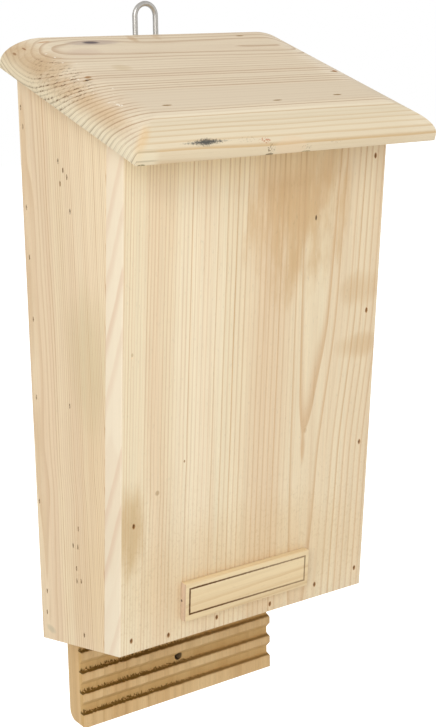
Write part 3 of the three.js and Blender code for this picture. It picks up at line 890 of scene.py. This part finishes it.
front_wood = softwood(
    "front_wood", FRONT, "xyz", pith=(43.4, 19.13), lean=(0.01, -0.035), rings=(0.19, 0.8e-8, 4.0),
    tones=FRONT_TONES, seed=1.3, contrast=0.68, wander=0.8, line=(0.55, 0.92), fibre=0.13,
    sway=((105.0, 225.0), (46.0, 62.0), 7.0), squeeze=1.25, extra=edge_streaks,
    marks=brad_marks(["brad_front_"], FRONT, "xyz", [FILLED_BRAD]), mark_size=(1.5, 2.5),
    stains_and_light=[
        patch((-48.0, 220.0), (26.0, 260.0), 0.5, (246, 231, 202), 1.0),
        patch((-82.0, 250.0), (10.0, 200.0), 0.4, (226, 196, 162), 1.0),
        patch((12.0, 190.0), (40.0, 330.0), 0.45, (227, 201, 166), 1.2),
        patch((32.0, 305.0), (50.0, 88.0), 0.8, (207, 172, 124), 2.2),
        patch((50.0, 150.0), (24.0, 100.0), 0.12, (220, 194, 158), 1.0),
        patch((90.0, 232.0), (22.0, 16.0), 0.45, (206, 172, 126)),
        patch((92.0, 190.0), (26.0, 12.0), 0.5, (206, 172, 126)),
        patch((0.0, 40.0), (140.0, 60.0), 0.5, (222, 194, 150), 1.0),
        patch((-100.0, 88.0), (17.0, 44.0), 0.7, (200, 168, 118)),
        # Painted light: a paler band along the top of the front, lifting the shadow that the roof
        # casts there
        patch((-20.0, 338.0), (130.0, 30.0), 0.5, (255, 234, 190), 0.5),
    ],
    knots=[
        knot((46.7, 286.0), (0.9, 2.2), (5.0, 9.0), 1.0, 0.95, (78, 54, 30)),
        knot((-77.6, 113.1), (2.0, 2.2), (7.0, 14.0), 1.5, 0.5, (158, 124, 80)),
        knot((-56.4, 131.4), (0.8, 1.2), (4.0, 8.0), 0.6, 0.8, (150, 106, 56)),
        knot((46.0, 134.0), (1.6, 2.2), (6.0, 12.0), 0.8, 0.3, (186, 146, 98)),
        knot((-98.1, 211.5), (1.1, 1.6), (3.0, 5.0), 0.4, 0.6, (192, 166, 124)),
        knot((-98.1, 209.5), (0.8, 0.9), (3.0, 5.0), 0.0, 0.7, (242, 214, 178)),
    ],
)
left_wood = softwood(
    "left_wood", WORLD, "yxz", pith=(-12.0, -62.0), lean=(0.02, 0.0), rings=(0.5, 0.0),
    tones=SIDE_TONES, seed=4.9, contrast=0.8,
    marks=brad_marks(["brad_left_"], WORLD, "yxz"), mark_size=(1.0, 2.3),
    stains_and_light=[
        patch((-20.0, 200.0), (34.0, 420.0), 0.4, (228, 198, 166), 1.2),
        patch((-86.0, 120.0), (26.0, 160.0), 0.35, (232, 208, 166), 1.2),
        patch((-96.0, 335.0), (52.0, 140.0), 0.75, (240, 220, 186), 1.0),
        patch((-84.0, 225.0), (34.0, 62.0), 0.45, (206, 190, 148), 1.2),
        patch((-6.0, 255.0), (3.0, 60.0), 0.3, (200, 168, 128)),
        patch((-13.1, 11.6), (9.0, 3.6), 0.45, (170, 166, 140)),
        patch((-70.0, 60.0), (40.0, 60.0), 0.25, (222, 196, 152)),
    ],
    swirls=[
        swirl((-72.0, 146.0), (34.0, 16.0), 1.2),
        swirl((-60.0, 120.0), (30.0, 12.0), -1.0),
    ],
)
right_wood = softwood(
    "right_wood", WORLD, "yxz", pith=(-80.0, 58.0), lean=(-0.02, 0.0), rings=(0.34, 0.0),
    tones=SIDE_TONES, seed=9.4, mark_size=(0.8, 1.8),
    marks=brad_marks(["brad_right_"], WORLD, "yxz"),
)
roof_wood = softwood(
    "roof_wood", ROOF, "yzx", pith=(-27.0, 79.0), lean=(0.0, -0.012), rings=(0.1943, -1000.0, -1.0),
    tones=ROOF_TONES, seed=15.2, contrast=0.85, wander=1.6, line=(0.5, 0.9), extra=roof_weather,
    marks=brad_marks(["brad_roof_"], ROOF, "yzx"), mark_size=(1.2, 4.5),
    stains_and_light=[
        patch((-30.0, -122.0), (80.0, 28.0), 0.72, (200, 167, 122)),
        patch((-110.0, -112.0), (60.0, 12.0), 0.5, (213, 176, 125), deep=(12.0, 14.0)),
        patch((-176.0, 0.0), (48.0, 190.0), 0.5, (249, 235, 206), 0.8),
        patch((-80.0, 122.0), (190.0, 44.0), 0.75, (249, 236, 214), 0.8),
        patch((-31.9, -74.0), (10.0, 16.0), 0.4, (208, 180, 160)),
        patch((-64.3, -64.7), (7.0, 9.0), 0.35, (198, 174, 128)),
        patch((-8.7, -22.6), (8.0, 4.0), 0.55, (196, 160, 118)),
        patch((-6.0, -2.0), (7.0, 4.0), 0.4, (204, 168, 126)),
    ],
    knots=[
        knot((-13.4, -58.0), (6.5, 26.0), (9.0, 9.0), 0.0, 0.55, (164, 142, 134)),
        knot((-13.4, -58.9), (3.2, 8.5), (11.0, 26.0), -3.4, 0.9, (84, 72, 76)),
        knot((-76.8, -96.9), (2.6, 2.8), (4.0, 6.0), 0.0, 0.75, (158, 106, 42)),
        knot((-86.6, 96.6), (2.2, 2.6), (4.0, 6.0), 0.0, 0.8, (178, 108, 58)),
        knot((-9.0, -92.0), (1.3, 6.5), (4.0, 8.0), 0.0, 0.7, (186, 124, 62)),
        knot((-11.0, -107.5), (3.0, 0.8), (5.0, 6.0), 0.6, 0.75, (146, 98, 54), (16.0, 4.0, 5.0)),
        knot((-10.0, -113.6), (3.0, 0.8), (5.0, 6.0), 0.6, 0.75, (140, 94, 50), (12.6, 3.6, 5.0)),
    ],
)
strip_wood = softwood(
    "strip_wood", WORLD, "yzx", pith=(-60.0, -30.0), lean=(0.0, 0.02), rings=(0.2, 0.0),
    tones=SIDE_TONES, seed=21.7, contrast=0.6,
)
back_wood = softwood(
    "back_wood", WORLD, "xyz", pith=(30.0, 60.0), lean=(0.02, 0.03), rings=(0.14, 0.0),
    tones=BACK_TONES, seed=27.1, contrast=0.35, fibre=0.2, end_shade=0.05, extra=tail_burns_and_shade,
)
partition_wood = softwood(
    "partition_wood", WORLD, "xyz", pith=(-40.0, 30.0), lean=(-0.03, 0.03), rings=(0.14, 0.0),
    tones=BACK_TONES, seed=33.8, contrast=0.4, fibre=0.16,
)


PIN_MIDDLE = (29.8, -1.3)
PIN_HALF = (1.1, 1.1)


def burnt_border_and_shade(paint, colour, across, deep, along, late, noise):
    """The burnt line of the plate's border, fainter to the right, painted shade along the long
    edges of the plate's end, and a pin in its end.
    """
    reach = PLATE_WIDTH / 2 - BORDER_ASIDE - BORDER_WIDTH / 2
    low = PLATE_FOOT + BORDER_BELOW + BORDER_WIDTH / 2
    high = PLATE_FOOT + PLATE_HEIGHT - BORDER_ABOVE - BORDER_WIDTH / 2
    middle, half = (low + high) / 2, (high - low) / 2
    aside = paint.math("ABSOLUTE", along - PLATE_OFFSET)
    beside = aside - reach
    above = paint.math("ABSOLUTE", across - middle) - half
    line = paint.math("ABSOLUTE", paint.math("MAXIMUM", beside, above))
    uneven = noise("burn") - 0.5
    front = 1.0 - paint.rise(deep, 0.4 - PLATE_THICKNESS, 1.2 - PLATE_THICKNESS)
    ends = paint.rise(aside, PLATE_WIDTH / 2 - 0.6, PLATE_WIDTH / 2 - 0.1)
    colour = paint.blend(0.8 * ends, colour, rgb(216, 190, 166))
    # Painted shade: darker lines along both long edges of the plate's end, a contact shadow against
    # the front board and a dark line at the face's arris
    near_face = paint.rise(deep, 1.4 - PLATE_THICKNESS, 0.4 - PLATE_THICKNESS)
    end_edge_shade = ends * (near_face + paint.rise(deep, -1.2, -0.4))
    colour = paint.blend(0.3 * end_edge_shade, colour, rgb(150, 114, 76))
    right = paint.rise(along, -50.0, 50.0)
    fading = 0.95 * BORDER_WIDTH - 0.15 * BORDER_WIDTH * right
    burn = 1.0 - paint.rise(line + 0.5 * uneven, 0.5 * BORDER_WIDTH, fading)
    colour = paint.blend(burn * front * (0.97 - 0.3 * right), colour, rgb(92, 56, 18))
    pin = within(paint, (across, deep), PIN_MIDDLE, PIN_HALF, 0.5)
    return paint.blend(0.9 * pin * ends * (1.0 - right), colour, rgb(70, 44, 30))


plate_wood = softwood(
    "plate_wood", FRONT, "zyx", pith=(60.0, 40.0), lean=(0.01, 0.02), rings=(0.25, 0.0),
    tones=PLATE_TONES, seed=39.5, contrast=0.4, end_shade=0.06, extra=burnt_border_and_shade,
)


# Metal

def galvanised():
    """Bright zinc: faint spangles in colour and shine, and fine drawing marks."""
    paint = new_paint("galvanised")
    place = paint.node("TexCoord", out="Object")
    spangle = paint.noise(place, (500.0, 500.0, 300.0), detail=3.0)
    drawn = paint.noise(place, (900.0, 900.0, 60.0), detail=1.0, shift=5.0)
    colour = paint.blend(paint.rise(spangle, 0.3, 0.7), rgb(190, 187, 181), rgb(199, 196, 191))
    rough = 0.36 + 0.03 * spangle + 0.03 * drawn
    bump = paint.node("Bump", None, {"Strength": 0.04, "Distance": 0.0001, "Height": drawn})
    return paint.surface(colour, rough, bump, metallic=1.0)


def brad_steel():
    """Dull steel of the sunk brads, browned with rust."""
    paint = new_paint("brad_steel")
    place = paint.node("TexCoord", out="Object")
    rust = paint.rise(paint.noise(place, (1200.0, 1200.0, 1200.0), detail=3.0), 0.4, 0.65)
    colour = paint.blend(rust, rgb(112, 96, 76), rgb(118, 72, 34))
    bump = paint.node("Bump", None, {"Strength": 0.2, "Distance": 0.0001, "Height": rust})
    return paint.surface(colour, 0.5 + 0.3 * rust, bump, metallic=0.5)


zinc = galvanised()
dull = brad_steel()


# Pieces

def finish(piece, material, slot_name, *nodes):
    """Gives a piece its material and its body, and hides what it stands for; its slot name is not
    used.
    """
    piece.data.materials.clear()
    piece.data.materials.append(material)
    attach(piece, "root")
    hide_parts(*nodes)


def slots_for(prefix, place, face_axis, face, into, along, half, left_out=()):
    """Slots over the brads whose names start so, in a board's face."""
    cutters = []
    for number, point in enumerate(brad_places([prefix], place, left_out)):
        point[face_axis] = face
        cutters.append(slot(f"slot_{number}", place, point, into, along, half))
    return join(cutters)


def hull_outline(name, place):
    """Corners of the convex side view of a frame node, in order round their middle.

    Of all corners of the node, those are kept that stand out furthest in some direction of
    the side view.
    """
    points = np.array([v.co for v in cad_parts[name].data.vertices], float)
    flat = place.inside(points)[:, 1:].round(2)
    turn = np.linspace(0, 2 * math.pi, OUTLINE_DIRECTIONS, endpoint=False)
    fan = np.stack([np.cos(turn), np.sin(turn)])
    corners = np.unique(flat[np.unique((flat @ fan).argmax(0))], axis=0)
    spread = corners - corners.mean(0)
    return corners[np.argsort(np.arctan2(spread[:, 1], spread[:, 0]))]


def board_outline(name, place):
    """A frame node's side view with its corners eased by arcs."""
    return rounded(hull_outline(name, place), EASING, EASING_STEPS)


def make_sides():
    """The two side boards: their side view carried through their thickness, with slots."""
    for name, side, material in (("left", -1, left_wood), ("right", 1, right_wood)):
        node_name = name + "_side"
        outline = board_outline(node_name, WORLD)
        ends = sorted((side * HALF_WIDTH, side * (HALF_WIDTH - SIDE_BOARD)))
        piece = bar(name + "_board", outline, ends, WORLD)
        cutter = slots_for(
            f"brad_{name}_", WORLD, 0, side * HALF_WIDTH, (-side, 0, 0), (0, 0, 1), FACE_SLOT)
        cut(piece, [cutter])
        finish(piece, material, "side_pine", node_name)


def make_front():
    """The front board: its side view carried over the full width, with slots."""
    outline = board_outline("front_board", FRONT)
    piece = bar("front_panel", outline, (-HALF_WIDTH, HALF_WIDTH), FRONT)
    cut(piece, [slots_for(
        "brad_front_", FRONT, 1, 0.0, (0, 1, 0), (0, 0, 1), FACE_SLOT, [FILLED_BRAD])])
    finish(piece, front_wood, "pale_pine", "front_board")


def make_strip():
    """The floor strip: its side view carried between the side boards."""
    outline = board_outline("floor_strip", WORLD)
    piece = bar("floor_slat", outline, (-INNER_HALF, INNER_HALF), WORLD)
    finish(piece, strip_wood, "side_pine", "floor_strip")


def grooved_face(face, inwards, bottom, top):
    """Corners of a grooved face going up: rib, short ledge in, floor, longer flank out."""
    count = int(np.floor((top - bottom - LOWEST_RIB) / GROOVE_PITCH - 1e-9))
    foot = bottom + LOWEST_RIB + GROOVE_PITCH * np.arange(count)[:, None]
    floor_end = GROOVE_LEDGE + GROOVE_FLOOR
    heights = foot + np.array([0.0, GROOVE_LEDGE, floor_end, GROOVE_PITCH - RIB_FACE])
    floor = face + inwards * GROOVE_DEPTH
    depths = np.broadcast_to(np.array([face, floor, floor, face]), heights.shape)
    run = np.stack([depths.ravel(), heights.ravel()], axis=1)
    return np.concatenate([[[face, bottom]], run, [[face, top]]])


def tail_wobble(rings, place_x):
    """Tears the ledges of the grooves a little, more towards the left end.

    Points near a ledge move up and down by a random amount of their station and groove, and
    by a smaller one of their own. Both fade as exp(-x squared) with the distance x from the
    middle of the ledge, counted in 0.9 of its height.
    """
    climb = (rings[..., 1] + TAIL_LENGTH - LOWEST_RIB) / GROOVE_PITCH
    height = (climb - np.floor(climb)) * GROOVE_PITCH
    front = rings[..., 0] < GROOVE_DEPTH + TEAR_MARGIN - BACK_BOARD
    front = front & (climb > -FOOT_TEAR_SHARE)
    near = np.exp(-(((height - 0.5 * GROOVE_LEDGE) / (0.9 * GROOVE_LEDGE)) ** 2)) * front
    own = rng.normal(0.0, OWN_TEAR_SHARE, rings.shape[:2])
    band = np.floor(climb).astype(int)
    band -= band.min()
    shared = rng.normal(0.0, 1.0, (len(place_x), band.max() + 1))
    ragged = own + np.take_along_axis(shared, band, axis=1)
    grown = np.clip((TEAR_START - place_x) / TEAR_RUN, 0.0, 1.0)[:, None]
    left = LEAST_TEAR_SHARE + (1.0 - LEAST_TEAR_SHARE) * grown
    rings[..., 1] += TEAR_HEIGHT * ragged * near * left
    return rings


def make_back():
    """The back board: a grooved side view carried between the sides, recessed and drilled."""
    top_back = side_high[2]
    top_face = top_back - BACK_BOARD * math.tan(ROOF_SLOPE)
    face = grooved_face(-BACK_BOARD, 1.0, -TAIL_LENGTH, top_face)
    corners = np.concatenate([[[0.0, top_back], [0.0, -TAIL_LENGTH]], face])
    radii = np.full(len(corners), GROOVE_EASING)
    radii[1] = HEEL_RADIUS
    outline = rounded(corners, radii, GROOVE_STEPS)
    ends = (-INNER_HALF, INNER_HALF)
    piece = bar("back_plank", outline, ends, WORLD, TAIL_STATIONS, tail_wobble)
    half = LOOP_SPAN / 2 + WIRE / 2 + RECESS_MARGIN
    recess = block(
        "recess", (LOOP_MIDDLE_X - half, -RECESS_DEPTH, BOX_HEIGHT - RECESS_HEIGHT),
        (LOOP_MIDDLE_X + half, CUT_OVERRUN, BOX_HEIGHT + CUT_OVERRUN), WORLD,
    )
    depths = (-BACK_BOARD - CUT_OVERRUN, -BACK_BOARD / 2, CUT_OVERRUN)
    drill_path = [(SCREW_ASIDE, depth, -SCREW_DROP) for depth in depths]
    cut(piece, [recess, tube("drill", drill_path, SCREW_HOLE, DRILL_SIDES)])
    finish(piece, back_wood, "brown_pine", "back_board")


def make_partition():
    """The partition: a side view with one grooved face, carried between the sides."""
    back = -BACK_BOARD - CHAMBER_DEPTH
    seat = (BOARD + JOINT_GAP) / math.cos(FOOT_SLOPE)
    rise = math.tan(FOOT_SLOPE)
    bottom_back = seat - back * rise
    bottom_front = seat - (back - BOARD) * rise
    face = grooved_face(back, -1.0, bottom_back, PARTITION_TOP)
    front = [[back - BOARD, PARTITION_TOP], [back - BOARD, bottom_front]]
    corners = np.concatenate([face, front])
    outline = rounded(corners, END_EASING, EASING_STEPS)
    piece = bar("partition_plank", outline, (-INNER_HALF, INNER_HALF), WORLD)
    finish(piece, partition_wood, "brown_pine", "partition_board")


def quarter(distance, reach):
    """How far a quarter round of a reach has dropped, as a share, at a distance in."""
    short = np.clip(1 - distance / reach, 0, 1)
    return 1 - np.sqrt(1 - short ** 2)


def make_roof():
    """One shell: a top sheet and a bottom sheet over the same grid, with their rims joined.

    With e the distance in from a rounded edge, the top lies at the thickness less the drop
    times 1 - sqrt(1 - ((reach - e) / reach) squared); the nearest of the left, right and
    front edges counts, so the mitres run along the diagonals of the grid.
    """
    width, length = roof_high[0], -roof_low[1]
    turn = np.linspace(0, math.pi / 2, ROUND_STEPS + 1)
    lip = np.array(LIP_SHARES) * EASING
    edge = np.unique(np.concatenate([lip, ROUND_REACH * (1 - np.cos(turn))[2:]]).round(4))
    count_x = int((width - ROUND_REACH) * 2 / FLAT_STEP)
    count_y = int((length - ROUND_REACH) / FLAT_STEP)
    flat_x = np.linspace(ROUND_REACH - width, width - ROUND_REACH, count_x)[1:-1]
    flat_y = np.linspace(ROUND_REACH - length, -EASING, count_y)[1:-1]
    grid_x, grid_y = np.meshgrid(
        np.concatenate([edge - width, flat_x, (width - edge)[::-1]]),
        np.concatenate([edge - length, flat_y, -lip[::-1]]), indexing="ij")
    from_edge = np.minimum(np.minimum(grid_x + width, width - grid_x), grid_y + length)
    top = BOARD - ROUND_DROP * quarter(from_edge, ROUND_REACH)
    top = np.minimum(top, BOARD - EASING * quarter(-grid_y, EASING))
    bottom = EASING * quarter(np.minimum(from_edge, -grid_y), EASING)
    rows, columns = grid_x.shape
    upper = np.stack([grid_x, grid_y, top], axis=-1).reshape(-1, 3)
    lower = np.stack([grid_x, grid_y, bottom], axis=-1).reshape(-1, 3)
    points = np.concatenate([upper, lower])

    quads = np.array(grid_faces(rows, columns))
    left = points[quads].mean(axis=1)[:, 0] < 0
    rising, falling = quads[left], quads[~left]
    over = np.concatenate([
        rising[:, [0, 1, 2]], rising[:, [0, 2, 3]], falling[:, [0, 1, 3]], falling[:, [1, 2, 3]]])
    under = quads[:, ::-1] + rows * columns
    index = np.arange(rows * columns).reshape(rows, columns)
    rim = np.concatenate([index[:, 0], index[-1, 1:], index[-2::-1, -1], index[0, -2:0:-1]])
    ahead = np.roll(rim, -1)
    wall = np.stack([rim + rows * columns, ahead + rows * columns, ahead, rim], axis=1)
    faces = over.tolist() + under.tolist() + wall.tolist()
    piece = make_object("roof_plank", ROOF.out(points), faces, SMOOTH_DEGREES)

    # Notches for the wire's legs, and slots over the brads
    reach = WIRE / 2 + JOINT_GAP
    notches = []
    for number, across in enumerate(LEGS_X):
        notches.append(block(
            f"notch_{number}", (across - reach, -RECESS_DEPTH, BOX_HEIGHT - BOARD),
            (across + reach, CUT_OVERRUN, BOX_HEIGHT + 2 * BOARD), WORLD,
        ))
    slots = slots_for("brad_roof_", ROOF, 2, BOARD, (0, 0, -1), (1, 0, 0), ROOF_SLOT)
    cut(piece, [join(notches), slots])
    finish(piece, roof_wood, "roof_pine", "roof_board")


def make_plate():
    """The name plate: a small bar with a square line cut round its face, for the border."""
    face = -JOINT_GAP - PLATE_THICKNESS
    top = PLATE_FOOT + PLATE_HEIGHT
    corners = [(-JOINT_GAP, PLATE_FOOT), (face, PLATE_FOOT), (face, top), (-JOINT_GAP, top)]
    ends = (PLATE_OFFSET - PLATE_WIDTH / 2, PLATE_OFFSET + PLATE_WIDTH / 2)
    piece = bar("plate", rounded(corners, END_EASING, EASING_STEPS), ends, FRONT)
    reach = PLATE_WIDTH / 2 - BORDER_ASIDE
    low, high = PLATE_FOOT + BORDER_BELOW, top - BORDER_ABOVE
    outer = np.array([(-reach, low), (reach, low), (reach, high), (-reach, high)])
    inner = outer + np.array([(1, 1), (-1, 1), (-1, -1), (1, -1)]) * BORDER_WIDTH
    near, deep = face - BORDER_OVERRUN, face + BORDER_DEPTH
    rings = np.array([
        [(x + PLATE_OFFSET, depth, z) for x, z in corners_at]
        for depth, corners_at in ((near, outer), (deep, outer), (deep, inner), (near, inner))
    ])
    points = rings.transpose(1, 0, 2).reshape(-1, 3)
    line = make_object("line", FRONT.out(points), grid_faces(4, 4, True, True))
    cut(piece, [line])
    finish(piece, plate_wood, "plate_wood", "name_plate")


def bent(corners, radius):
    """Points along straight runs with a quarter round at each inner corner."""
    corners = np.asarray(corners, float)
    turn = np.linspace(0, math.pi / 2, BEND_STEPS + 1)[:, None]
    runs = [corners[:1]]
    for before, corner, after in zip(corners, corners[1:], corners[2:]):
        back, ahead = unit(before - corner), unit(after - corner)
        centre = corner + radius * (back + ahead)
        runs.append(centre - radius * (np.cos(turn) * ahead + np.sin(turn) * back))
    runs.append(corners[-1:])
    return np.concatenate(runs)


def make_wire():
    """The hanging wire: two legs that turn into the board, and a half round between them."""
    loop_radius = LOOP_SPAN / 2
    loop_middle = wire_high[2] - loop_radius - WIRE / 2
    end_height = BOX_HEIGHT - RECESS_HEIGHT + LEG_END_MARGIN
    end_depth = -RECESS_DEPTH - LEG_END_DEPTH
    left, right = (bent([
        (across, end_depth, end_height), (across, WIRE_DEPTH, end_height),
        (across, WIRE_DEPTH, loop_middle),
    ], BEND_RADIUS) for across in LEGS_X)
    turn = np.linspace(0, math.pi, LOOP_STEPS + 1)[1:-1]
    top = np.stack([
        LOOP_MIDDLE_X - loop_radius * np.cos(turn), np.full(len(turn), WIRE_DEPTH),
        loop_middle + loop_radius * np.sin(turn),
    ], axis=1)
    path = np.concatenate([left, top, right[::-1]])
    finish(tube("wire_loop", path, WIRE), zinc, "bright_steel", "hanger_wire")


def make_staples():
    """Two staples, each a round wire bent square over a leg, with its tips in the wood."""
    height = BOX_HEIGHT - RECESS_HEIGHT * (1 - STAPLE_HEIGHT_SHARE)
    reach = (WIRE + STAPLE) / 2 + STAPLE_GAP
    crown = WIRE_DEPTH + WIRE / 2 + STAPLE_GAP + STAPLE / 2
    tip = -RECESS_DEPTH - STAPLE_LEG
    for name, across in zip(("left", "right"), LEGS_X):
        path = bent([
            (across - reach, tip, height), (across - reach, crown, height),
            (across + reach, crown, height), (across + reach, tip, height),
        ], STAPLE)
        piece = tube("staple_" + name, path, STAPLE, STAPLE_SIDES)
        finish(piece, zinc, "bright_steel", "hanger_staple_" + name)


make_back()
make_partition()
make_sides()
make_strip()
make_front()
make_plate()
make_roof()
make_wire()
make_staples()

# The brads keep their CAD meshes
for node_name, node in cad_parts.items():
    if node_name.startswith("brad_"):
        node.data.materials.clear()
        node.data.materials.append(dull)

bpy.context.scene.view_settings.view_transform = "Standard"
